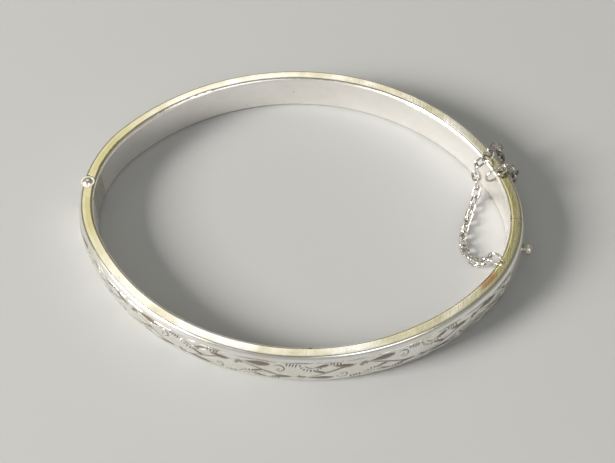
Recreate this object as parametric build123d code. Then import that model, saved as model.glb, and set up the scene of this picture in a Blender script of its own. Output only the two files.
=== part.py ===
from build123d import *
from math import asin, cos, degrees, radians, sin
import os

# A hinged oval bangle that lies flat. Millimetres, +Z up. The origin is the centre of the wrist
# opening, on the plane that the bangle lies on. The hinge is at -X, the clasp at +X, the front
# half at -Y and the back half at +Y.

# ---- the band ----
OPENING_LENGTH = 60.0
OPENING_WIDTH = 48.0
END_RADIUS = 17.0
BAND_THICKNESS = 2.4
BAND_HEIGHT = 6.0
WALL = 0.4
INNER_CORNER = 0.55
FLAT_END = 1.5
SHELL_JOIN = 1.15

# ---- the hinge ----
HINGE_X = -31.3
HINGE_Y = -0.55
KNUCKLE_RADIUS = 1.0
KNUCKLE_GAP = 0.05
PIN_RADIUS = 0.5
PIN_CLEARANCE = 0.03
POCKET_RADIUS = KNUCKLE_RADIUS + 0.07
KNUCKLE_BASE = 0.05
KNUCKLE_TOP = 5.85
HINGE_SEAM_Y = -1.65
FRONT_BLOCK_LENGTH = 1.75
BACK_BLOCK_END_Y = 1.6
HINGE_SEAM_GAP = 0.05
MIDDLE_WEB_HALF_WIDTH = 0.4
FRONT_WEB_HALF_WIDTH = 0.45
FRONT_WEB_OVERLAP = 0.3
BARREL_SHOWS_TO_Y = HINGE_Y + 0.75
WEB_ROOM = (HINGE_X + 0.55, HINGE_Y - 0.65)
PIN_HEAD_RADIUS = 0.76
PIN_HEAD_BALL_RADIUS = 1.0
PIN_HEAD_BALL_SINK = 0.62

# ---- the clasp ----
SEAM_Y = 1.8
SEAM_GAP = 0.06
CAP_THICKNESS = 0.4
MOUTH_X = (30.3, 31.72)
MOUTH_Z = (0.9, 5.1)
GUIDE_X = (30.5, 31.1)
GUIDE_START_Y = -4.6
GUIDE_THICKNESS = 0.28
GUIDE_GAP = 0.05
LEAF_BOTTOM = 1.2
LEAF_TOP = 4.8
FIXED_LEAF_INNER_X = 30.55
FIXED_LEAF_THICKNESS = 0.3
FOLD_X = 31.05
FOLD_Y = -4.2
FOLD_RADIUS = 0.28
FOLD_CLEARANCE = 0.04
SPRING_LEAF_THICKNESS = 0.28
SPRING_LEAF_LENGTH = 5.45
SPRING_LEAF_SPLAY = 4.7
KNOB_Y = -1.2
STEM_RADIUS = 0.3
KNOB_RADIUS = 0.82
KNOB_INNER_X = 32.8
KNOB_OUTER_X = 33.5
KNOB_ROUNDING = 0.42
STEM_FOOT = 0.3
SLOT_HALF_WIDTH = 0.42
SLOT_END_Y = -1.62

# ---- the safety chain ----
WIRE_RADIUS = 0.18
LINK_END_RADIUS = 0.54
LINK_LENGTH = 1.7
LINK_PLAY = 0.03
PITCH = LINK_LENGTH - 2 * WIRE_RADIUS - LINK_PLAY
RING_RADIUS = 1.08
RING_WIRE = 0.17
RING_HOLE = 0.24
RING_INSET = 0.42
RING_LIFT = 0.05
FRONT_RING_ANGLE = -20.0
BACK_RING_ANGLE = 33.0
FRONT_RING_PIVOT_ANGLE = 200.0
BACK_RING_PIVOT_ANGLE = 20.0
MIDDLE_RING_RADIUS = 0.95
INNER_LINKS = 19
OUTER_LINKS = 14

# The middle ring leans on the band's inner top edge.
MIDDLE_RING_CENTRE = Vector(25.86, 12.13, 6.62)
MIDDLE_RING_TO_INNER = Vector(-0.7, -0.55, -0.45).normalized()
MIDDLE_RING_TO_OUTER = Vector(0.15, 0.95, 0.1).normalized()
INNER_TWIST_MARKS = [(1, 0.0), (6, -16.0), (13, -16.0), (19, 57.0)]
OUTER_TWIST_MARKS = [(1, 0.0), (14, 48.0)]

PARTS_FOLDER = "parts"
BIG = 200.0
WALK_STEP = 0.01
BISECTIONS = 26
MID_HEIGHT = BAND_HEIGHT / 2
RING_REACH = RING_RADIUS - RING_WIRE - LINK_PLAY / 2
MIDDLE_REACH = MIDDLE_RING_RADIUS - RING_WIRE - LINK_PLAY / 2
KNUCKLE_HEIGHT = (KNUCKLE_TOP - KNUCKLE_BASE - 2 * KNUCKLE_GAP) / 3
MIDDLE_BOTTOM = KNUCKLE_BASE + KNUCKLE_HEIGHT + KNUCKLE_GAP
MIDDLE_TOP = MIDDLE_BOTTOM + KNUCKLE_HEIGHT


# ---- the oval: two end arcs and two side arcs that meet in tangents ----
END_CENTRE_X = OPENING_LENGTH / 2 - END_RADIUS
HALF_WIDTH = OPENING_WIDTH / 2
SIDE_RADIUS = (END_CENTRE_X**2 + HALF_WIDTH**2 - END_RADIUS**2) / (2 * (HALF_WIDTH - END_RADIUS))
SIDE_CENTRE_Y = SIDE_RADIUS - HALF_WIDTH
JOIN_ANGLE = degrees(asin(SIDE_CENTRE_Y / (SIDE_RADIUS - END_RADIUS)))
OVAL_ARCS = [
    (END_CENTRE_X, 0.0, END_RADIUS, -JOIN_ANGLE, 2 * JOIN_ANGLE),
    (0.0, -SIDE_CENTRE_Y, SIDE_RADIUS, JOIN_ANGLE, 180 - 2 * JOIN_ANGLE),
    (-END_CENTRE_X, 0.0, END_RADIUS, 180 - JOIN_ANGLE, 2 * JOIN_ANGLE),
    (0.0, SIDE_CENTRE_Y, SIDE_RADIUS, 180 + JOIN_ANGLE, 180 - 2 * JOIN_ANGLE),
]


def full_section():
    """The band's outline: a flat inner wall, two flat edges and a domed outer wall."""
    dome = EllipticalCenterArc(
        (FLAT_END, MID_HEIGHT), BAND_THICKNESS - FLAT_END, MID_HEIGHT, start_angle=-90, arc_size=180
    )
    outline = [
        Line((INNER_CORNER, 0), (FLAT_END, 0)),
        dome,
        Line((FLAT_END, BAND_HEIGHT), (INNER_CORNER, BAND_HEIGHT)),
        CenterArc((INNER_CORNER, BAND_HEIGHT - INNER_CORNER), INNER_CORNER, 90, 90),
        Line((0, BAND_HEIGHT - INNER_CORNER), (0, INNER_CORNER)),
        CenterArc((INNER_CORNER, INNER_CORNER), INNER_CORNER, 180, 90),
    ]
    return make_face(outline)


def hollow_section():
    """The space inside the two soldered shells."""
    dome = EllipticalCenterArc(
        (FLAT_END, MID_HEIGHT),
        BAND_THICKNESS - FLAT_END - WALL,
        MID_HEIGHT - WALL,
        start_angle=-90,
        arc_size=180,
    )
    outline = [
        Line((WALL, WALL), (FLAT_END, WALL)),
        dome,
        Line((FLAT_END, BAND_HEIGHT - WALL), (WALL, BAND_HEIGHT - WALL)),
        Line((WALL, BAND_HEIGHT - WALL), (WALL, WALL)),
    ]
    return make_face(outline)


def around_oval(section):
    """Carries a section, drawn as (distance out from the inner wall, height), around the oval."""
    ring = None
    for centre_x, centre_y, radius, start, sweep_angle in OVAL_ARCS:
        outward = (cos(radians(start)), sin(radians(start)), 0)
        upright = Plane(
            origin=(centre_x, centre_y, 0), x_dir=outward, z_dir=(outward[1], -outward[0], 0)
        )
        face = upright * (Pos(radius, 0) * section)
        piece = revolve(face, Axis((centre_x, centre_y, 0), (0, 0, 1)), sweep_angle)
        ring = piece if ring is None else ring + piece
    return ring


def slab(x_range, y_range, z_range=(-1, BAND_HEIGHT + 1)):
    """A plain block between the given limits."""
    sizes = [high - low for low, high in (x_range, y_range, z_range)]
    middle = [(high + low) / 2 for low, high in (x_range, y_range, z_range)]
    return Pos(*middle) * Box(*sizes)


def upright_cylinder(x, y, radius, bottom, top):
    return Pos(x, y, (bottom + top) / 2) * Cylinder(radius, top - bottom)


def front_region(clasp_end_y, hinge_end_y):
    """Everything on the front side of the two ends of the front half."""
    return slab((0, BIG), (-BIG, clasp_end_y)) + slab((-BIG, 0), (-BIG, hinge_end_y))


def back_region(clasp_end_y, hinge_end_y):
    return slab((0, BIG), (clasp_end_y, BIG)) + slab((-BIG, 0), (hinge_end_y, BIG))


# ---- chain geometry: pivots a fixed pitch apart along a route, and rings at set places ----
def wall_point(angle, outset, height):
    """A point by its angle on the clasp end's arc, its distance out from the wall and its height."""
    reach = END_RADIUS + outset
    return Vector(END_CENTRE_X + reach * cos(radians(angle)), reach * sin(radians(angle)), height)


def ring_frame(angle):
    """The plane of a jump ring that passes through the inner top edge: outward and up."""
    outward = Vector(cos(radians(angle)), sin(radians(angle)), 0)
    centre = wall_point(angle, -RING_INSET, BAND_HEIGHT + RING_LIFT)
    return Plane(origin=centre, x_dir=outward, z_dir=(outward.Y, -outward.X, 0))


def ring_pivot(frame, angle, reach):
    """Where a link bears on a ring, at an angle around the ring from its outward direction."""
    return frame.from_local_coords(Vector(reach * cos(radians(angle)), reach * sin(radians(angle)), 0))


def walk(curve):
    """Pivots one pitch apart along a curve, and how many links the whole curve takes."""
    pivots = [curve.position_at(0)]
    reached = 0.0
    while True:
        ahead = reached
        while ahead < 1 and (curve.position_at(ahead) - pivots[-1]).length < PITCH:
            ahead = min(1.0, ahead + WALK_STEP)
        if (curve.position_at(ahead) - pivots[-1]).length < PITCH:
            left_over = (curve.position_at(1) - pivots[-1]).length
            return pivots, len(pivots) - 1 + left_over / PITCH
        behind = ahead - WALK_STEP
        for _ in range(BISECTIONS):
            middle = (behind + ahead) / 2
            if (curve.position_at(middle) - pivots[-1]).length < PITCH:
                behind = middle
            else:
                ahead = middle
        reached = ahead
        pivots.append(curve.position_at(reached))


def fitted_pivots(route, slack_range, count):
    """The pivots of a stretch of chain that has exactly this many links. route(slack) gives the
    points of a curve that grows longer with slack."""
    low, high = slack_range
    for _ in range(BISECTIONS):
        slack = (low + high) / 2
        curve = Spline(*route(slack))
        pivots, links = walk(curve)
        if links < count:
            low = slack
        else:
            high = slack
    return pivots[:count] + [curve.position_at(1)]


def eased(marks, number):
    """The twist of a link by its number, on straight runs between (number, degrees) marks."""
    for (low, low_twist), (high, high_twist) in zip(marks, marks[1:]):
        if number <= high:
            return low_twist + (high_twist - low_twist) * (number - low) / (high - low)
    return marks[-1][1]


def carried_sides(pivots, first_side, twist_marks):
    """A side direction for each link: carried along the chain, turned by a quarter at every second
    link, and twisted a little."""
    sides = []
    side = first_side
    for number, (start, end) in enumerate(zip(pivots, pivots[1:]), 1):
        along = (end - start).normalized()
        side = (side - along * side.dot(along)).normalized()
        quarter = 90 * (number + 1)
        sides.append(side.rotate(Axis((0, 0, 0), along), quarter + eased(twist_marks, number)))
    return sides


def link_solid():
    """One link of the chain, in the XY plane, long in X: a bent and soldered wire."""
    half = LINK_LENGTH / 2 - LINK_END_RADIUS
    path = Wire(
        [
            Line((-half, -LINK_END_RADIUS), (half, -LINK_END_RADIUS)).edge(),
            CenterArc((half, 0), LINK_END_RADIUS, -90, 180).edge(),
            Line((half, LINK_END_RADIUS), (-half, LINK_END_RADIUS)).edge(),
            CenterArc((-half, 0), LINK_END_RADIUS, 90, 180).edge(),
        ]
    )
    section = Plane(origin=(-half, -LINK_END_RADIUS, 0), z_dir=(1, 0, 0)) * Circle(WIRE_RADIUS)
    return sweep(section, path=path)


def ring_solid(frame, radius):
    return frame * Torus(radius, RING_WIRE)


# ---- the chain's two stretches ----
front_ring_frame = ring_frame(FRONT_RING_ANGLE)
back_ring_frame = ring_frame(BACK_RING_ANGLE)
front_pivot = ring_pivot(front_ring_frame, FRONT_RING_PIVOT_ANGLE, RING_REACH)
back_pivot = ring_pivot(back_ring_frame, BACK_RING_PIVOT_ANGLE, RING_REACH)
inner_end = MIDDLE_RING_CENTRE + MIDDLE_RING_TO_INNER * MIDDLE_REACH
outer_end = MIDDLE_RING_CENTRE + MIDDLE_RING_TO_OUTER * MIDDLE_REACH


def inner_route(slack):
    """The stretch that drops from the front jump ring, lies in a slack curve inside the clasp and
    climbs to the middle ring."""
    return [
        front_pivot,
        Vector(27.2, -5.0, 4.5),
        Vector(26.9, -4.6, 3.1),
        Vector(26.4, -3.9, 1.8),
        Vector(25.6, -2.9, 0.95),
        Vector(24.8 - 0.5 * slack, -1.6, 0.66),
        Vector(24.3 - slack, 0.0, 0.64),
        Vector(24.2 - slack, 1.7, 0.62),
        Vector(24.4 - slack, 3.6, 0.6),
        Vector(24.7 - slack, 5.5, 0.6),
        Vector(25.0 - slack, 7.3, 0.66),
        Vector(25.1 - 0.5 * slack, 8.9, 1.3),
        Vector(24.8, 10.1, 2.7),
        Vector(24.4, 10.75, 4.3),
        Vector(24.4, 11.05, 5.5),
        Vector(24.75, 11.3, 6.2),
        inner_end,
    ]


def outer_route(slack):
    """The surplus that is thrown over the back half's top edge and hangs outside as a loop."""
    places = [
        (1.9, 0.1, 6.85),
        (2.9, 0.2, 6.55),
        (3.65, 0.3, 5.3),
        (3.95, 0.4, 3.9),
        (4.1, 0.9, 2.6 - slack),
        (4.3, 2.4, 1.8 - slack),
        (4.1, 3.9, 2.6 - slack),
        (3.9, 4.5, 3.9),
        (3.6, 4.7, 5.3),
        (3.0, 4.65, 6.5),
        (2.15, 4.3, 7.0),
    ]
    flat = Plane(origin=back_ring_frame.origin, x_dir=back_ring_frame.x_dir, z_dir=(0, 0, 1))
    points = [flat.from_local_coords(Vector(out, on, 0)) for out, on, _ in places]
    heights = [height for _, _, height in places]
    middle = [Vector(point.X, point.Y, height) for point, height in zip(points, heights)]
    return [back_pivot] + middle + [outer_end]


inner_pivots = fitted_pivots(inner_route, (-1.5, 1.5), INNER_LINKS)
outer_pivots = fitted_pivots(outer_route, (-1.5, 2.0), OUTER_LINKS)


def placed_links(pivots, ring_axis, twist_marks):
    """A link between each two pivots."""
    link = link_solid()
    links = []
    for start, end, side in zip(pivots, pivots[1:], carried_sides(pivots, ring_axis, twist_marks)):
        along = (end - start).normalized()
        plane = Plane(origin=(start + end) / 2, x_dir=along, z_dir=along.cross(side))
        links.append(plane * link)
    return links


inner_links = placed_links(inner_pivots, front_ring_frame.z_dir, INNER_TWIST_MARKS)
outer_links = placed_links(outer_pivots, back_ring_frame.z_dir, OUTER_TWIST_MARKS)
middle_ring_frame = Plane(
    origin=MIDDLE_RING_CENTRE,
    x_dir=MIDDLE_RING_TO_INNER,
    z_dir=MIDDLE_RING_TO_INNER.cross(MIDDLE_RING_TO_OUTER),
)


# ---- the bangle's halves ----
solid_band = around_oval(full_section())
hollow = around_oval(hollow_section())
band_walls = solid_band - hollow
inner_zone = around_oval(Pos(0, MID_HEIGHT) * Rectangle(2 * SHELL_JOIN, 2 * BAND_HEIGHT) & full_section())
inner_walls = band_walls & inner_zone
outer_walls = band_walls - inner_zone


def ring_passage(frame):
    """The drilled way of a jump ring through the inner top edge."""
    return frame * Torus(RING_RADIUS, RING_HOLE)


def make_front_half():
    clasp_face_y = SEAM_Y - SEAM_GAP / 2
    cap_back_y = clasp_face_y - CAP_THICKNESS
    block_end_y = HINGE_SEAM_Y - FRONT_BLOCK_LENGTH
    shell_region = front_region(cap_back_y, block_end_y)
    slot_height = (MID_HEIGHT - SLOT_HALF_WIDTH, MID_HEIGHT + SLOT_HALF_WIDTH)
    slot = slab((FOLD_X, BIG), (SLOT_END_Y, SEAM_Y), slot_height)
    mouth = slab(MOUTH_X, (cap_back_y - 1, SEAM_Y), MOUTH_Z)
    cap = solid_band & slab((0, BIG), (cap_back_y, clasp_face_y))
    block = solid_band & slab((-BIG, 0), (block_end_y, HINGE_SEAM_Y))
    guide = slab(GUIDE_X, (GUIDE_START_Y, cap_back_y), (0, GUIDE_THICKNESS))
    return {
        "front_outer_shell": (outer_walls & shell_region) - slot,
        "front_inner_band": (inner_walls & shell_region) - ring_passage(front_ring_frame),
        "front_mouth_cap": cap - mouth - slot,
        "front_hinge_block": block,
        "clasp_guide_lower": Pos(0, 0, LEAF_BOTTOM - GUIDE_GAP - GUIDE_THICKNESS) * guide,
        "clasp_guide_upper": Pos(0, 0, LEAF_TOP + GUIDE_GAP) * guide,
    }


def make_back_half():
    clasp_face_y = SEAM_Y + SEAM_GAP / 2
    cap_back_y = clasp_face_y + CAP_THICKNESS
    shell_region = back_region(cap_back_y, BACK_BLOCK_END_Y)
    pocket = upright_cylinder(HINGE_X, HINGE_Y, POCKET_RADIUS, -1, BAND_HEIGHT + 1)
    outer_opening = slab((-BIG, HINGE_X), (-BIG, BARREL_SHOWS_TO_Y))
    web_opening = slab((-BIG, WEB_ROOM[0]), (-BIG, WEB_ROOM[1]))
    block_zone = slab((-BIG, 0), (HINGE_SEAM_Y + HINGE_SEAM_GAP, BACK_BLOCK_END_Y))
    block = (solid_band & block_zone) - pocket - outer_opening - web_opening - middle_web()
    return {
        "back_outer_shell": outer_walls & shell_region,
        "back_inner_band": (inner_walls & shell_region) - ring_passage(back_ring_frame),
        "back_clasp_cap": solid_band & slab((0, BIG), (clasp_face_y, cap_back_y)),
        "back_hinge_block": block,
    }


# ---- the hinge ----
def middle_web():
    """The tongue of metal that joins the middle knuckle to the back half."""
    return slab(
        (HINGE_X - MIDDLE_WEB_HALF_WIDTH, HINGE_X + MIDDLE_WEB_HALF_WIDTH),
        (HINGE_Y + 0.7 * KNUCKLE_RADIUS, HINGE_Y + 1.3 * KNUCKLE_RADIUS),
        (MIDDLE_BOTTOM, MIDDLE_TOP),
    )


def front_knuckle(bottom, top):
    barrel = upright_cylinder(HINGE_X, HINGE_Y, KNUCKLE_RADIUS, bottom, top)
    web = slab(
        (HINGE_X - FRONT_WEB_HALF_WIDTH, HINGE_X + FRONT_WEB_HALF_WIDTH),
        (HINGE_SEAM_Y, HINGE_Y - KNUCKLE_RADIUS + FRONT_WEB_OVERLAP),
        (bottom, top),
    )
    bore = upright_cylinder(HINGE_X, HINGE_Y, PIN_RADIUS, bottom - 1, top + 1)
    return barrel + web - bore


def make_hinge():
    head = Pos(HINGE_X, HINGE_Y, KNUCKLE_TOP - PIN_HEAD_BALL_SINK) * Sphere(PIN_HEAD_BALL_RADIUS)
    head &= upright_cylinder(HINGE_X, HINGE_Y, PIN_HEAD_RADIUS, KNUCKLE_TOP, KNUCKLE_TOP + 1)
    pin = upright_cylinder(HINGE_X, HINGE_Y, PIN_RADIUS, KNUCKLE_BASE, KNUCKLE_TOP) + head
    top_knuckle = front_knuckle(MIDDLE_TOP + KNUCKLE_GAP, KNUCKLE_TOP)
    middle = upright_cylinder(HINGE_X, HINGE_Y, KNUCKLE_RADIUS, MIDDLE_BOTTOM, MIDDLE_TOP) + middle_web()
    bore = upright_cylinder(HINGE_X, HINGE_Y, PIN_RADIUS + PIN_CLEARANCE, 0, BAND_HEIGHT)
    return {
        "hinge_knuckle_top": top_knuckle,
        "hinge_knuckle_middle": middle - bore,
        "hinge_knuckle_bottom": front_knuckle(KNUCKLE_BASE, MIDDLE_BOTTOM - KNUCKLE_GAP),
        "hinge_pin": pin,
    }


# ---- the snap tongue: a springy strip folded back on itself, with the thumb knob on its free leaf ----
def make_clasp():
    leaf_height = LEAF_TOP - LEAF_BOTTOM
    fixed = slab(
        (FIXED_LEAF_INNER_X, FIXED_LEAF_INNER_X + FIXED_LEAF_THICKNESS),
        (FOLD_Y, SEAM_Y + SEAM_GAP / 2),
        (LEAF_BOTTOM, LEAF_TOP),
    )
    fold = upright_cylinder(FOLD_X, FOLD_Y, FOLD_RADIUS, LEAF_BOTTOM, LEAF_TOP)
    strip = Pos(0, SPRING_LEAF_LENGTH / 2, 0) * Box(SPRING_LEAF_THICKNESS, SPRING_LEAF_LENGTH, leaf_height)
    splayed = Pos(FOLD_X, FOLD_Y, MID_HEIGHT) * Rot(0, 0, -SPRING_LEAF_SPLAY) * strip
    socket = upright_cylinder(FOLD_X, FOLD_Y, FOLD_RADIUS + FOLD_CLEARANCE, 0, BAND_HEIGHT)
    spring = splayed - socket
    stem_length = KNOB_INNER_X - FOLD_X
    stem = Rot(0, 90, 0) * Cylinder(STEM_RADIUS, stem_length)
    stem = Pos(FOLD_X + stem_length / 2, KNOB_Y, MID_HEIGHT) * stem
    head_thickness = KNOB_OUTER_X - KNOB_INNER_X
    disc = Rot(0, 90, 0) * Cylinder(KNOB_RADIUS, head_thickness)
    disc = fillet(disc.edges().sort_by(Axis.X)[-1], KNOB_ROUNDING)
    head = Pos(KNOB_INNER_X + head_thickness / 2, KNOB_Y, MID_HEIGHT) * disc
    knob = stem + head - splayed - slab((0, FOLD_X + STEM_FOOT), (-BIG, BIG))
    return {
        "tongue_fixed_leaf": fixed + fold,
        "tongue_spring_leaf": spring,
        "thumb_knob": knob,
    }


def make_chain():
    pieces = {
        "front_jump_ring": ring_solid(front_ring_frame, RING_RADIUS),
        "back_jump_ring": ring_solid(back_ring_frame, RING_RADIUS),
        "middle_chain_ring": ring_solid(middle_ring_frame, MIDDLE_RING_RADIUS),
    }
    for number, link in enumerate(inner_links, 1):
        pieces[f"inner_chain_link_{number:02d}"] = link
    for number, link in enumerate(outer_links, 1):
        pieces[f"outer_chain_link_{number:02d}"] = link
    return pieces


def make_all():
    return {**make_front_half(), **make_back_half(), **make_hinge(), **make_clasp(), **make_chain()}


os.makedirs(PARTS_FOLDER, exist_ok=True)
nodes = make_all()
for name, shape in nodes.items():
    export_step(shape, f"{PARTS_FOLDER}/{name}.step")
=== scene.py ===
import bpy
import math
import numpy as np
from mathutils import Matrix, Vector


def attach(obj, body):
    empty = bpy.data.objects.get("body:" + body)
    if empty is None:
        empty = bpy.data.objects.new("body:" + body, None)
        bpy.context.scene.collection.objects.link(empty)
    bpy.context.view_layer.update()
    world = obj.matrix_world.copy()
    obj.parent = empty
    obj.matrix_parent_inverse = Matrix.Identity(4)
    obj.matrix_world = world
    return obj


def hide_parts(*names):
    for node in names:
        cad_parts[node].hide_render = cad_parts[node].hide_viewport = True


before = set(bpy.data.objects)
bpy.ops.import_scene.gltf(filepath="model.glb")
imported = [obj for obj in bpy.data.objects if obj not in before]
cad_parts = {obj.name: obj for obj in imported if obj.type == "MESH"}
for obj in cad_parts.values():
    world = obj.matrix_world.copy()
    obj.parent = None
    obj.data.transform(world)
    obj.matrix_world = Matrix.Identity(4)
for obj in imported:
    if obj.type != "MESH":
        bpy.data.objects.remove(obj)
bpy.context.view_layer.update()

MM = 0.001

# ---- the band's shape, in millimetres: the wrist opening is 60 x 48 ----
END_RADIUS = 17.0  # the inner wall at the clasp and at the hinge, about a centre at +-END_X
END_X = 13.0
HALF_WIDTH = 24.0
SIDE_RADIUS = (END_X**2 + HALF_WIDTH**2 - END_RADIUS**2) / (2 * (HALF_WIDTH - END_RADIUS))
SIDE_Y = SIDE_RADIUS - HALF_WIDTH
JOIN = math.asin(SIDE_Y / (SIDE_RADIUS - END_RADIUS))  # where an end's arc meets a side's
THICKNESS = 2.4
HEIGHT = 6.0
MID = HEIGHT / 2
FLAT_END = 1.5  # the rim is flat this far out from the inner wall, and domed beyond
BULGE = THICKNESS - FLAT_END

# ---- the front half's outer wall, which goes from the clasp to the hinge ----
LIP = 1.15  # its edge, this far out from the inner wall
WALL = 0.4
SHOULDER = 1.3  # the hollow's shoulders, this far above and below the middle and this much nearer the wrist
SHOULDER_STEP = 0.12
CLASP_END_Y = 1.37
SLOT_END_Y = -1.62  # the knob's slot is open at the clasp and ends here
SLOT_HALF = 0.42
HINGE_END_Y = -3.4
GRID = 0.09  # spacing of the engraved wall's mesh
DOME_ARC = 2.4  # mean radius of the dome's section, to space the rows
CREASE = math.radians(42)

# ---- the engraving ----
CLASP_PLAIN, HINGE_PLAIN = 9.0, 4.0  # plain lengths of the wall at its two ends
BORDER = 2.1  # half the height of the engraved band
SCROLL_PITCH = 8.8
FULL_CUT = 0.12  # the depth at which a cut takes its full tarnish and painted shade

# ---- colours of the metal ----
SILVER = (0.90, 0.88, 0.845)
OLIVE = (0.72, 0.66, 0.44)
# Next: the rim's olive, part tarnish and part painted reflection of the olive room.
RIM_TARNISH_AND_REFLECTION = (0.50, 0.455, 0.25)
PIT = (0.10, 0.085, 0.06)
# Next: the cuts' brown, part tarnish and part painted shade.
CUT_TARNISH_AND_SHADE = (0.25, 0.20, 0.165)
COPPER = (0.42, 0.22, 0.10)
DARK = (0.05, 0.04, 0.03)

# Wear on the rim: a coppery rub beside the front jump ring and a few dark dings.
# Each has its place and radius in millimetres, its share and its stain.
MARKS = (
    ((28.4, -9.6, 6.0), 2.3, 0.75, COPPER),
    ((-11.7, -21.8, 5.9), 0.34, 1.0, DARK),
    ((-2.9, -23.8, 5.9), 0.34, 1.0, DARK),
    ((5.6, -23.7, 5.9), 0.30, 0.9, DARK),
    ((-27.8, 6.9, 5.9), 0.28, 0.9, DARK),
)

# The rim's olive is patchy tarnish plus a painted reflection of the olive room, which deepens toward both
# ends of the oval between these distances in metres.
REFLECTION_NEAR, REFLECTION_FAR = 0.019, 0.029
END_REFLECTION_PEAK = 1.35
RIM_ROUGHNESS = 0.16


# ---------------------------------------------------------------- materials
class Tree:
    """One material's nodes. Each method adds a node and gives its output."""

    def __init__(self, name):
        self.material = bpy.data.materials.new(name)
        self.material.use_nodes = True
        self.nodes, self.links = self.material.node_tree.nodes, self.material.node_tree.links
        self.shader = self.nodes["Principled BSDF"]
        self.where = self.nodes.new("ShaderNodeTexCoord")

    def plug(self, socket, value):
        """Links the socket to an output, or sets it to a plain value."""
        if isinstance(value, bpy.types.NodeSocket):
            self.links.new(value, socket)
        else:
            socket.default_value = value

    def noise(self, scale, detail, stretch=(1, 1, 1), turn=0.0):
        mapping = self.nodes.new("ShaderNodeMapping")
        mapping.inputs["Scale"].default_value = stretch
        mapping.inputs["Rotation"].default_value = (0, 0, turn)
        self.links.new(self.where.outputs["Object"], mapping.inputs["Vector"])
        noise = self.nodes.new("ShaderNodeTexNoise")
        noise.inputs["Scale"].default_value = scale
        noise.inputs["Detail"].default_value = detail
        noise.inputs["Roughness"].default_value = 0.6
        self.links.new(mapping.outputs["Vector"], noise.inputs["Vector"])
        return noise.outputs["Fac"]

    def ramp(self, source, low, high, start, end):
        ramp = self.nodes.new("ShaderNodeMapRange")
        for socket, value in (("From Min", low), ("From Max", high), ("To Min", start), ("To Max", end)):
            ramp.inputs[socket].default_value = value
        self.links.new(source, ramp.inputs["Value"])
        return ramp.outputs["Result"]

    def mix(self, factor, first, second):
        mixer = self.nodes.new("ShaderNodeMix")
        mixer.data_type = "RGBA"
        self.links.new(factor, mixer.inputs["Factor"])
        for socket, value in ((mixer.inputs[6], first), (mixer.inputs[7], second)):
            self.plug(socket, (*value, 1) if isinstance(value, tuple) else value)
        return mixer.outputs[2]

    def maths(self, operation, *values):
        node = self.nodes.new("ShaderNodeMath")
        node.operation = operation
        for socket, value in zip(node.inputs, values):
            self.plug(socket, value)
        return node.outputs[0]

    def size_of(self, coordinate, axis):
        """How large the coordinate is along an axis, whatever its sign."""
        split = self.nodes.new("ShaderNodeSeparateXYZ")
        self.links.new(self.where.outputs[coordinate], split.inputs["Vector"])
        return self.maths("ABSOLUTE", split.outputs[axis])

    def distance_to(self, place):
        gap = self.nodes.new("ShaderNodeVectorMath")
        gap.operation = "DISTANCE"
        self.links.new(self.where.outputs["Object"], gap.inputs[0])
        gap.inputs[1].default_value = [value * MM for value in place]
        return gap.outputs["Value"]

    def attribute(self, name):
        node = self.nodes.new("ShaderNodeAttribute")
        node.attribute_name = name
        return node.outputs["Fac"]


def silver(name, base, tint, tint_share, rough, rough_spread, scratch,
           rim=0.0, cut_tarnish_and_shade=None, mottle=260.0, marks=()):
    """Silver: a base colour that drifts to a warm tint, uneven polish, hairline scratches and tiny pits.

    rim is how much the flat rim takes tarnish and a painted olive reflection; the next argument names the
    attribute that is high in a cut, where tarnish and painted shade darken the metal; mottle is the scale of
    the drift, and marks are stains.
    """
    tree = Tree(name)
    tree.shader.inputs["Metallic"].default_value = 1.0
    colour = tree.mix(tree.ramp(tree.noise(mottle, 5), 0.38, 0.66, 0.0, tint_share), base, tint)
    colour = tree.mix(tree.ramp(tree.noise(1500.0, 2), 0.735, 0.765, 0.0, 0.9), colour, PIT)
    roughness = tree.ramp(tree.noise(520.0, 6), 0.3, 0.7, rough, rough + rough_spread)
    if rim:
        # Painted reflection: the flat rim, facing up or down, turns olive as if it mirrored the olive room.
        # This lies over patchy tarnish and grows toward the oval's ends.
        edge = tree.ramp(tree.size_of("Normal", "Z"), 0.55, 0.95, 0.0, 1.0)
        patches = tree.ramp(tree.noise(70.0, 3), 0.43, 0.60, 0.1, 1.0)
        ends = tree.ramp(tree.size_of("Object", "X"), REFLECTION_NEAR, REFLECTION_FAR, 0.0, END_REFLECTION_PEAK)
        tarnish_and_reflection = tree.maths("MULTIPLY", edge, tree.maths("MAXIMUM", patches, ends))
        colour = tree.mix(tree.ramp(tarnish_and_reflection, 0.0, END_REFLECTION_PEAK, 0.0, 1.25 * rim), colour, RIM_TARNISH_AND_REFLECTION)
        roughness = tree.maths("MULTIPLY_ADD", edge, RIM_ROUGHNESS - rough, roughness)
    for place, radius, share, stain in marks:
        spot = tree.ramp(tree.distance_to(place), 0.45 * radius * MM, radius * MM, share, 0.0)
        colour = tree.mix(spot, colour, stain)
    # Cuts darken toward a brown that is part tarnish, part painted shade.
    if cut_tarnish_and_shade:
        cut = tree.attribute(cut_tarnish_and_shade)
        colour = tree.mix(tree.ramp(cut, 0.2, 1.0, 0.0, 0.9), colour, CUT_TARNISH_AND_SHADE)
        roughness = tree.maths("ADD", roughness, tree.ramp(cut, 0.1, 1.0, 0.0, 0.12))
    tree.plug(tree.shader.inputs["Base Color"], colour)
    tree.plug(tree.shader.inputs["Roughness"], roughness)
    hairlines = tree.noise(5200.0, 3, (0.03, 0.03, 1))
    across = tree.noise(4300.0, 3, (1, 0.08, 1), -0.2)
    scratches = tree.maths("ADD", hairlines, across)
    bump = tree.nodes.new("ShaderNodeBump")
    bump.inputs["Strength"].default_value = scratch
    bump.inputs["Distance"].default_value = 0.00003
    tree.plug(bump.inputs["Height"], tree.maths("MULTIPLY_ADD", tree.noise(230.0, 2), 2.6, scratches))
    tree.plug(tree.shader.inputs["Normal"], bump.outputs["Normal"])
    return tree.material


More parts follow.
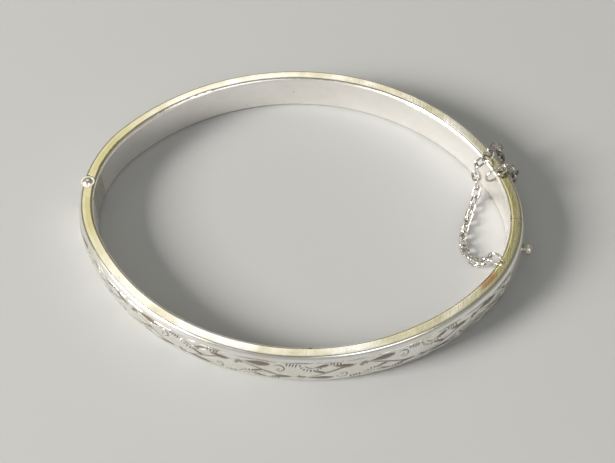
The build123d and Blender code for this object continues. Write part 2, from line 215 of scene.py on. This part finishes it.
POLISHED = silver("silver_polished", SILVER, OLIVE, 0.5, 0.13, 0.10, 0.22, rim=0.7)
ENGRAVED = silver("silver_engraved", (0.93, 0.92, 0.89), OLIVE, 0.3, 0.16, 0.12, 0.2, rim=0.65, cut_tarnish_and_shade="cut")
INSIDE = silver("silver_inside", (0.97, 0.95, 0.92), (0.88, 0.83, 0.76), 0.5, 0.34, 0.10, 0.4,
                rim=0.8, marks=MARKS)
FITTING = silver("silver_fitting", (0.84, 0.81, 0.76), (0.60, 0.53, 0.36), 0.7, 0.22, 0.14, 0.4, mottle=900.0)
STRIP = silver("silver_strip", (0.78, 0.75, 0.70), (0.62, 0.54, 0.38), 0.5, 0.28, 0.12, 0.5)
# The chain's dark mottle is part tarnish, part painted shade standing in for the shadows between its links.
WIRE = silver("silver_wire", (0.82, 0.80, 0.77), (0.26, 0.23, 0.18), 0.85, 0.14, 0.14, 0.35, mottle=620.0)

# The first entry with a word that is in a node's name gives its material. Any other node is a fitting.
FINISHES = (
    (("chain", "jump"), WIRE),
    (("inner_band",), INSIDE),
    (("tongue", "clasp_guide"), STRIP),
    (("outer_shell", "cap", "hinge_block"), POLISHED),
)
for name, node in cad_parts.items():
    finish = next((paint for words, paint in FINISHES if any(word in name for word in words)), FITTING)
    node.data.materials.clear()
    node.data.materials.append(finish)


# ---------------------------------------------------------------- the engraver's cuts
class Plate:
    """The outer wall unrolled: s runs from the clasp to the hinge, q up from the middle, in millimetres."""

    def __init__(self, s, q):
        self.s, self.q = s, q
        self.depth = np.zeros((len(s), len(q)))

    def cut(self, points, width, depth=0.11):
        """A tapered graver's cut along the points: pointed at both ends, widest a third of the way."""
        points = np.array(points, dtype=float)
        steps = np.linspace(0, 1, len(points))
        widths = width * (np.sin(np.pi * steps**0.7) ** 0.8 + 0.12) / 2
        i0, i1 = np.searchsorted(self.s, [points[:, 0].min() - width, points[:, 0].max() + width])
        j0, j1 = np.searchsorted(self.q, [points[:, 1].min() - width, points[:, 1].max() + width])
        if i0 >= i1 or j0 >= j1:
            return
        s, q = np.meshgrid(self.s[i0:i1], self.q[j0:j1], indexing="ij")
        best = np.zeros_like(s)
        for a, b, half_a, half_b in zip(points, points[1:], widths, widths[1:]):
            d = b - a
            along = np.clip(((s - a[0]) * d[0] + (q - a[1]) * d[1]) / max(d @ d, 1e-9), 0, 1)
            away = np.hypot(s - a[0] - along * d[0], q - a[1] - along * d[1])
            half = half_a + (half_b - half_a) * along
            best = np.maximum(best, np.clip(1.15 * (1 - away / half), 0, 1) * half / (width / 2))
        self.depth[i0:i1, j0:j1] = np.maximum(self.depth[i0:i1, j0:j1], best * depth)


def bent(start, direction, length, bend, count=9):
    """A stroke that sets off in a direction, in radians, and turns by bend along its length."""
    points = [np.array(start, dtype=float)]
    for k in range(count):
        angle = direction + bend * k / count
        points.append(points[-1] + length / count * np.array([math.cos(angle), math.sin(angle)]))
    return points


def fan(plate, root, direction, spread, count, length, width, bend, gap):
    """Short cuts that open out from a root, as the ribs of a shell."""
    for k in range(count):
        angle = direction + spread * (k / (count - 1) - 0.5)
        start = (root[0] + gap * math.cos(angle), root[1] + gap * math.sin(angle))
        plate.cut(bent(start, angle, length * (1 - 0.25 * abs(2 * k / (count - 1) - 1)), bend), width, 0.12)


def leaf(plate, root, direction, length, width, curl):
    """A bright-cut leaf: one broad cut with a thinner one on each side of it."""
    plate.cut(bent(root, direction, length, curl), width, 0.17)
    plate.cut(bent(root, direction + 0.30, length * 0.86, curl - 0.62), width * 0.34, 0.12)
    plate.cut(bent(root, direction - 0.34, length * 0.74, curl + 0.55), width * 0.30, 0.12)


def volute(plate, centre, radius, turns, start, hand):
    """A scroll that winds in to a punched eye."""
    count = int(16 * turns)
    points = []
    for k in range(count + 1):
        share = k / count
        r = radius * (1 - 0.78 * share)
        a = start + hand * 2 * math.pi * turns * share
        points.append((centre[0] + r * math.cos(a), centre[1] + r * math.sin(a)))
    plate.cut(points, 0.3, 0.13)
    plate.cut([(centre[0] - 0.16, centre[1]), centre, (centre[0] + 0.16, centre[1])], 0.4, 0.14)


def comb(plate, centre, radius, start, sweep, count, length):
    """A shell edge: a bowed row of short hatch cuts that point at the centre of the bow."""
    for k in range(count):
        a = start + sweep * k / (count - 1)
        share = 1 - 0.45 * abs(2 * k / (count - 1) - 1)
        near, far = radius - length * share / 2, radius + length * share / 2
        first = (centre[0] + near * math.cos(a), centre[1] + near * math.sin(a))
        last = (centre[0] + far * math.cos(a + 0.05), centre[1] + far * math.sin(a + 0.05))
        half = ((first[0] + last[0]) / 2, (first[1] + last[1]) / 2)
        plate.cut([first, half, last], 0.4, 0.17)


def border(plate, rng, start, end, level):
    """A row of long thin cuts that overlap a little, above or below the scrolls."""
    s = start - 1.0
    while s < end:
        stop = min(s + 3.6 + 3.2 * rng.random(), end + 1)
        rise = 0.07 * (rng.random() - 0.5)
        line = [(s + (stop - s) * t, level + rise * math.sin(math.pi * t)) for t in np.linspace(0, 1, 9)]
        plate.cut(line, 0.2, 0.1)
        s = stop - 0.35


def scroll(plate, rng, s, pitch, up):
    """One repeat of the running scroll about s. up is 1 or -1, because every other one is upside down."""
    jitter = 0.12 * (rng.random() - 0.5)
    wave = [(s + pitch * (t - 0.5), -up * 1.25 * math.cos(math.pi * t)) for t in np.linspace(0, 1, 17)]
    plate.cut(wave, 0.42, 0.15)
    plate.cut([(x + 0.38, y + 0.2 * up) for x, y in wave[2:-2]], 0.18, 0.09)
    volute(plate, (s - 1.9, 0.75 * up), 0.95, 1.2, math.pi * 0.1, up)
    leaf(plate, (s - 0.9, 1.55 * up), -up * (0.10 + jitter), 4.3, 1.0, 0.18 * up)
    leaf(plate, (s - 3.6, -1.1 * up), up * (0.02 + jitter), 3.3, 0.85, -0.35 * up)
    leaf(plate, (s + 0.3, 0.25 * up), -up * 0.55, 2.2, 0.62, 0.5 * up)
    leaf(plate, (s - 0.2, -1.75 * up), up * 0.35, 2.4, 0.6, -0.2 * up)
    shell = (s + 2.3, -2.1 * up)
    comb(plate, shell, 1.6, up * 0.35, up * 2.4, 9, 1.1)
    turns = np.linspace(0.3, 2.8, 12)
    bow = [(shell[0] + 0.98 * math.cos(a), shell[1] + 0.98 * up * math.sin(a)) for a in turns]
    plate.cut(bow, 0.26, 0.13)
    fan(plate, (s + 3.5, 0.55 * up), up * 1.2, 1.7, 6, 1.05, 0.36, 0.2 * up, 0.3)
    for j in range(4):
        x = s - 4.3 + 0.42 * j + 0.05 * rng.random()
        plate.cut(bent((x, 1.95 * up), -up * 1.35, 1.0 - 0.1 * j, 0.25), 0.34, 0.16)
    for j in range(4):
        x = s - 1.7 + 0.42 * j + 0.05 * rng.random()
        plate.cut(bent((x, -2.0 * up), up * 1.5, 0.95 - 0.12 * j, -0.35 * up), 0.34, 0.16)
    for j in range(3):
        plate.cut(bent((s + 0.1 + 0.3 * j, -0.55 * up), up * 1.2, 0.6, 0.3 * up), 0.18, 0.1)


def engrave(plate, start, end):
    """A running scroll of bright-cut leaves, shell combs and hatching between two borders."""
    rng = np.random.default_rng(7)
    for level in (BORDER, -BORDER):
        border(plate, rng, start, end, level)
    count = round((end - start) / SCROLL_PITCH)
    pitch = (end - start) / count
    for k in range(count):
        scroll(plate, rng, start + pitch * (k + 0.5), pitch, 1 if k % 2 == 0 else -1)


# ---------------------------------------------------------------- the engraved wall
def oval_point(zone, share, u):
    """A point of the front half at a distance u out from the inner wall, in millimetres."""
    r = END_RADIUS + u
    if zone == "slot":
        y = CLASP_END_Y + (SLOT_END_Y - CLASP_END_Y) * share
        return END_X + math.sqrt(r * r - y * y), y
    if zone == "clasp":
        first = math.asin(SLOT_END_Y / r)
        a = first + (-JOIN - first) * share
        return END_X + r * math.cos(a), r * math.sin(a)
    if zone == "side":
        a = 2 * math.pi - JOIN + (2 * JOIN - math.pi) * share
        r = SIDE_RADIUS + u
        return r * math.cos(a), SIDE_Y + r * math.sin(a)
    last = math.pi + math.asin(-HINGE_END_Y / r)
    a = math.pi + JOIN + (last - math.pi - JOIN) * share
    return -END_X + r * math.cos(a), r * math.sin(a)


def wall_columns():
    """The mesh's columns from the clasp to the hinge, each a zone of the oval and a share of that zone."""
    end_arc = (END_RADIUS + THICKNESS) * JOIN
    side_arc = (SIDE_RADIUS + THICKNESS) * (math.pi - 2 * JOIN)
    lengths = (
        ("slot", CLASP_END_Y - SLOT_END_Y),
        ("clasp", end_arc + SLOT_END_Y),
        ("side", side_arc),
        ("hinge", end_arc + HINGE_END_Y),
    )
    columns = [("slot", 0.0)]
    for zone, length in lengths:
        steps = round(length / GRID)
        columns += [(zone, k / steps) for k in range(1, steps + 1)]
    return columns


def dome_heights():
    """The heights q of the rows up the outside, two of which are the slot's edges."""
    heights = []
    for low, high in ((-MID, -SLOT_HALF), (-SLOT_HALF, SLOT_HALF), (SLOT_HALF, MID)):
        a0, a1 = math.asin(low / MID), math.asin(high / MID)
        steps = round((a1 - a0) * DOME_ARC / GRID)
        heights += [math.sin(a0 + (a1 - a0) * k / steps) * MID for k in range(steps)]
    return heights + [MID]


def wall_section(dome):
    """The wall's outline across the band as (u, z), up the outside and then down the inside."""
    outside = [(FLAT_END + BULGE * math.sqrt(max(0, 1 - (q / MID) ** 2)), MID + q) for q in dome]
    outside = [(LIP, 0.0)] + outside + [(LIP, HEIGHT)]
    deep = THICKNESS - WALL
    upper = [(LIP, HEIGHT - WALL), (FLAT_END, HEIGHT - WALL)]
    upper += [(deep - SHOULDER_STEP, MID + SHOULDER), (deep, MID + SLOT_HALF)]
    lower = [(deep, MID - SLOT_HALF), (deep - SHOULDER_STEP, MID - SHOULDER), (FLAT_END, WALL), (LIP, WALL)]
    return outside, upper + lower


def wall_points(columns, section, plate):
    """Each column's points in metres, sunk along the dome's normal by the cuts, and how much tarnish and
    painted shade each cut takes.
    """
    points, cuts = [], []
    for i, (zone, share) in enumerate(columns):
        for j, (u, z) in enumerate(section):
            depth = plate.depth[i, j - 1] if 0 < j <= len(plate.q) else 0.0
            slope = math.atan2((z - MID) / MID**2, max(u - FLAT_END, 0) / BULGE**2 + 1e-6) if depth else 0.0
            x, y = oval_point(zone, share, u - depth * math.cos(slope))
            points.append((x * MM, y * MM, (z - depth * math.sin(slope)) * MM))
            cuts.append(min(1.0, depth / FULL_CUT))
    return points, cuts


def wall_faces(columns, rows, slot_low, slot_high, inner_high):
    """Quads between the columns, with the slot left open and walled. The wall's own ends stay open."""
    slot_columns = sum(zone == "slot" for zone, share in columns) - 1
    inner_low = inner_high + 1
    faces = []

    def strip(i, a, b):
        faces.append((i * rows + a, (i + 1) * rows + a, (i + 1) * rows + b, i * rows + b))

    for i in range(len(columns) - 1):
        for j in range(rows):
            if i >= slot_columns or not (slot_low <= j < slot_high or j == inner_high):
                strip(i, j, (j + 1) % rows)
        if i < slot_columns:
            strip(i, inner_high, slot_high)
            strip(i, slot_low, inner_low)
    closed_end = [*range(slot_low, slot_high + 1), inner_high, inner_low]
    faces.append(tuple(slot_columns * rows + j for j in closed_end))
    return faces


def make_engraved_wall():
    columns, dome = wall_columns(), dome_heights()
    middle = [oval_point(zone, share, THICKNESS) for zone, share in columns]
    run = [0.0]
    for (x0, y0), (x1, y1) in zip(middle, middle[1:]):
        run.append(run[-1] + math.hypot(x1 - x0, y1 - y0))
    plate = Plate(np.array(run), np.array(dome))
    engrave(plate, CLASP_PLAIN, run[-1] - HINGE_PLAIN)
    outside, inside = wall_section(dome)
    points, cuts = wall_points(columns, outside + inside, plate)
    slot_low, slot_high = (1 + int(np.argmin(np.abs(plate.q - q))) for q in (-SLOT_HALF, SLOT_HALF))
    inner_high = len(outside) + 3
    faces = wall_faces(columns, len(outside) + len(inside), slot_low, slot_high, inner_high)
    mesh = bpy.data.meshes.new("engraved_front_wall")
    mesh.from_pydata(points, [], faces)
    mesh.update()
    mesh.attributes.new("cut", "FLOAT", "POINT").data.foreach_set("value", cuts)
    mesh.shade_smooth()
    mesh.set_sharp_from_angle(angle=CREASE)
    mesh.materials.append(ENGRAVED)
    wall = bpy.data.objects.new("engraved_front_wall", mesh)
    bpy.context.scene.collection.objects.link(wall)
    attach(wall, "front_half")
    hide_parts("front_outer_shell")


# ---------------------------------------------------------------- floor, light and camera
FLOOR_HALF = 0.6
FLOOR_COLOUR = (0.40, 0.40, 0.392, 1)

AZIMUTH, ELEVATION, ROLL = (math.radians(angle) for angle in (11.76, 53.38, -2.59))
DISTANCE = 0.2
MIDDLE_RIGHT, MIDDLE_DOWN = 0.001009, 0.000524  # the view's middle, from the band's
SENSOR_WIDTH = 36.0
LENS = 79.703415


def make_floor():
    mesh = bpy.data.meshes.new("floor")
    corners = [(x * FLOOR_HALF, y * FLOOR_HALF, 0) for x, y in ((-1, -1), (1, -1), (1, 1), (-1, 1))]
    mesh.from_pydata(corners, [], [(0, 1, 2, 3)])
    floor = bpy.data.objects.new("floor", mesh)
    bpy.context.scene.collection.objects.link(floor)
    pale = bpy.data.materials.new("pale_floor")
    pale.use_nodes = True
    shader = pale.node_tree.nodes["Principled BSDF"]
    shader.inputs["Base Color"].default_value = FLOOR_COLOUR
    shader.inputs["Roughness"].default_value = 0.75
    mesh.materials.append(pale)


def area_light(name, place, size, power, colour):
    """A soft light that faces the bangle."""
    light = bpy.data.lights.new(name, "AREA")
    light.shape = "RECTANGLE"
    light.size, light.size_y = size
    light.energy = power
    light.color = colour
    lamp = bpy.data.objects.new(name, light)
    lamp.location = place
    lamp.rotation_euler = (-Vector(place)).to_track_quat("-Z", "Y").to_euler()
    bpy.context.scene.collection.objects.link(lamp)


def make_room():
    """What the metal reflects: a room that is bright in front and olive behind."""
    world = bpy.data.worlds.new("studio")
    world.use_nodes = True
    nodes, links = world.node_tree.nodes, world.node_tree.links
    where = nodes.new("ShaderNodeTexCoord")
    split = nodes.new("ShaderNodeSeparateXYZ")
    links.new(where.outputs["Generated"], split.inputs["Vector"])
    depth = nodes.new("ShaderNodeMapRange")
    depth.inputs["From Min"].default_value = -1.0
    depth.inputs["From Max"].default_value = 0.9
    links.new(split.outputs["Y"], depth.inputs["Value"])
    shades = nodes.new("ShaderNodeValToRGB")
    shades.color_ramp.interpolation = "EASE"
    front, behind = shades.color_ramp.elements
    front.position, front.color = 0.0, (0.95, 0.95, 0.95, 1)
    behind.position, behind.color = 1.0, (0.60, 0.59, 0.50, 1)
    shades.color_ramp.elements.new(0.5).color = (0.66, 0.66, 0.62, 1)
    links.new(depth.outputs["Result"], shades.inputs["Fac"])
    background = nodes["Background"]
    links.new(shades.outputs["Color"], background.inputs["Color"])
    background.inputs["Strength"].default_value = 0.42
    bpy.context.scene.world = world


def make_camera():
    """Looks down at the bangle from the front, a little from the clasp's side, and slightly rolled."""
    flat = math.cos(ELEVATION)
    back = Vector((math.sin(AZIMUTH) * flat, -math.cos(AZIMUTH) * flat, math.sin(ELEVATION)))
    level = (-back).cross(Vector((0, 0, 1))).normalized()
    top = level.cross(-back)
    right = level * math.cos(ROLL) + top * math.sin(ROLL)
    up = top * math.cos(ROLL) - level * math.sin(ROLL)
    place = back * DISTANCE + right * MIDDLE_RIGHT - up * MIDDLE_DOWN
    data = bpy.data.cameras.new("camera")
    data.sensor_width = SENSOR_WIDTH
    data.lens = LENS
    data.clip_start = 0.01
    camera = bpy.data.objects.new("camera", data)
    bpy.context.scene.collection.objects.link(camera)
    camera.matrix_world = Matrix(((*right, 0), (*up, 0), (*back, 0), (*place, 1))).transposed()
    bpy.context.scene.camera = camera


make_engraved_wall()
make_floor()
area_light("key", (-1.0, -0.54, 0.62), (0.48, 0.48), 31.0, (1.0, 0.985, 0.96))
area_light("window", (-0.34, 0.68, 0.92), (0.72, 0.6), 1.6, (1.0, 0.98, 0.92))
area_light("fill", (0.6, -0.7, 1.0), (0.7, 0.7), 3.2, (0.97, 0.98, 1.0))
make_room()
make_camera()
bpy.context.scene.view_settings.view_transform = "Standard"
